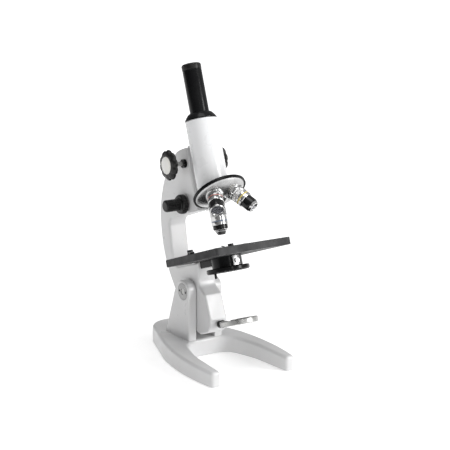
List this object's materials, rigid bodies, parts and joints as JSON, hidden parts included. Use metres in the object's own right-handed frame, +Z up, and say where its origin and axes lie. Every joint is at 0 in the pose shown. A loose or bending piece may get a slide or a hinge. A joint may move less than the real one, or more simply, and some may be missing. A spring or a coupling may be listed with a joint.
{
  "type": "microscope",
  "caption": "Student compound microscope: tilting C-shaped arm on a horseshoe foot, revolving nosepiece, square stage with clips, condenser, substage mirror and rack and screw focus.",
  "frame": {"origin": "on the table under the middle of the horseshoe foot", "axes": "+Z up, +Y to the back of the foot where the arm is hinged, +X to the user's left as they face the front"},
  "size_m": [0.1324, 0.2188, 0.3838],
  "materials": {
    "white_paint": "smooth semi-gloss enamel on castings and tube",
    "black_paint": "satin black enamel",
    "black_plastic": "moulded black phenolic, polished",
    "white_plastic": "moulded white inserts",
    "chrome": "polished chrome plate",
    "steel": "turned steel",
    "dark_steel": "blackened spring steel",
    "brass": "machined brass",
    "rubber": "matt black rubber",
    "glass": "clear coated optical glass",
    "mirror": "silvered glass",
    "ring_red": "enamel in a groove",
    "ring_yellow": "enamel in a groove",
    "ring_blue": "enamel in a groove"
  },
  "bodies": {
    "base": {"base_casting": "white_paint", "base_feet": "rubber", "hinge_pin": "steel", "hinge_nuts": "steel", "hinge_washers": "black_paint", "upright_stop_pin": "steel"},
    "arm": {"limb_casting": "white_paint", "hinge_bush": "brass", "stage_plate": "black_paint", "stage_screws": "dark_steel", "clip_posts": "dark_steel", "condenser_sleeve": "black_paint", "condenser_lens": "glass", "condenser_ring": "black_paint", "iris_housing": "black_paint", "condenser_bracket": "black_paint", "condenser_clamp": "chrome", "mirror_stub": "steel", "fine_bushes": "brass"},
    "clip_left": {"clip_left": "dark_steel"},
    "clip_right": {"clip_right": "dark_steel"},
    "iris": {"iris_ring": "black_paint", "iris_leaves": "dark_steel"},
    "mirror_knuckle": {"mirror_knuckle": "black_paint", "mirror_pivot_screw": "steel"},
    "mirror": {"mirror_ring": "steel", "plane_mirror": "mirror", "concave_mirror": "mirror"},
    "focus_block": {"focus_block": "white_paint", "lifter_pin": "steel", "pinion_bushes": "black_paint"},
    "fine_wedge": {"fine_wedge": "brass"},
    "fine_knobs": {"fine_shaft": "steel", "fine_knob_left": "black_plastic", "fine_knob_right": "black_plastic"},
    "coarse_knobs": {"coarse_pinion": "steel", "coarse_knob_left": "black_plastic", "coarse_knob_right": "black_plastic", "coarse_knob_inserts": "white_plastic"},
    "tube": {"body_tube": "white_paint", "tube_guide": "white_paint", "focus_rack": "brass", "tube_collar": "black_paint", "draw_tube": "black_paint", "nosepiece_plate": "black_paint", "nosepiece_pivot": "chrome"},
    "eyepiece": {"eyepiece_barrel": "steel", "eyepiece_cap": "black_plastic", "eye_lens": "glass", "field_lens": "glass", "field_stop": "black_paint"},
    "nosepiece": {"nosepiece_dome": "chrome", "objective_4x_sleeve": "chrome", "objective_10x_sleeve": "chrome", "objective_40x_sleeve": "chrome", "objective_4x_nose": "black_paint", "objective_10x_nose": "black_paint", "objective_40x_nose": "chrome", "objective_lenses": "glass"}
  },
  "joints": [
    {"name": "arm_tilt", "type": "hinge", "parent": "base", "child": "arm", "pos_m": [0, 0.017, 0.088], "axis": [-1, 0, 0], "range_deg": [-18.93, 41.07]},
    {"name": "fine_knob_turn", "type": "hinge", "parent": "arm", "child": "fine_knobs", "pos_m": [0, 0.02889, 0.20127], "axis": [1, 0, 0], "range_deg": [-540, 540]},
    {"name": "fine_focus", "type": "slide", "parent": "arm", "child": "focus_block", "axis": [0, 0.3244, 0.9459], "range_m": [-0.001, 0.001]},
    {"name": "wedge_travel", "type": "slide", "parent": "arm", "child": "fine_wedge", "axis": [1, 0, 0], "range_m": [-0.003, 0.003]},
    {"name": "coarse_knob_turn", "type": "hinge", "parent": "focus_block", "child": "coarse_knobs", "pos_m": [0, 0.02903, 0.25408], "axis": [-1, 0, 0], "range_deg": [-191, 298.5]},
    {"name": "coarse_focus", "type": "slide", "parent": "focus_block", "child": "tube", "axis": [0, 0.3244, 0.9459], "range_m": [-0.016, 0.025]},
    {"name": "nosepiece_turn", "type": "hinge", "parent": "tube", "child": "nosepiece", "pos_m": [0, -0.03666, 0.21932], "axis": [0, -0.6894, -0.7244], "continuous": true},
    {"name": "eyepiece_lift", "type": "slide", "parent": "tube", "child": "eyepiece", "axis": [0, 0.3244, 0.9459], "range_m": [0, 0.045]},
    {"name": "iris_turn", "type": "hinge", "parent": "arm", "child": "iris", "pos_m": [0, -0.05064, 0.12811], "axis": [0, 0.3244, 0.9459], "range_deg": [-35, 35]},
    {"name": "clip_left_swing", "type": "hinge", "parent": "arm", "child": "clip_left", "pos_m": [-0.031, -0.01082, 0.14406], "axis": [0, 0.3244, 0.9459], "range_deg": [-20, 25]},
    {"name": "clip_right_swing", "type": "hinge", "parent": "arm", "child": "clip_right", "pos_m": [0.031, -0.01082, 0.14406], "axis": [0, 0.3244, 0.9459], "range_deg": [-25, 20]},
    {"name": "mirror_swivel", "type": "hinge", "parent": "arm", "child": "mirror_knuckle", "pos_m": [0, -0.03517, 0.05303], "axis": [0, 0.9459, -0.3244], "continuous": true},
    {"name": "mirror_tilt", "type": "hinge", "parent": "mirror_knuckle", "child": "mirror", "pos_m": [0, -0.04557, 0.0566], "axis": [1, 0, 0], "range_deg": [-40, 35]}
  ],
  "couplings": [
    {"joint": "fine_knob_turn", "follows": "fine_focus", "rad_per_m": 9424},
    {"joint": "wedge_travel", "follows": "fine_focus", "ratio": -3},
    {"joint": "coarse_knob_turn", "follows": "coarse_focus", "rad_per_m": 208.33}
  ]
}
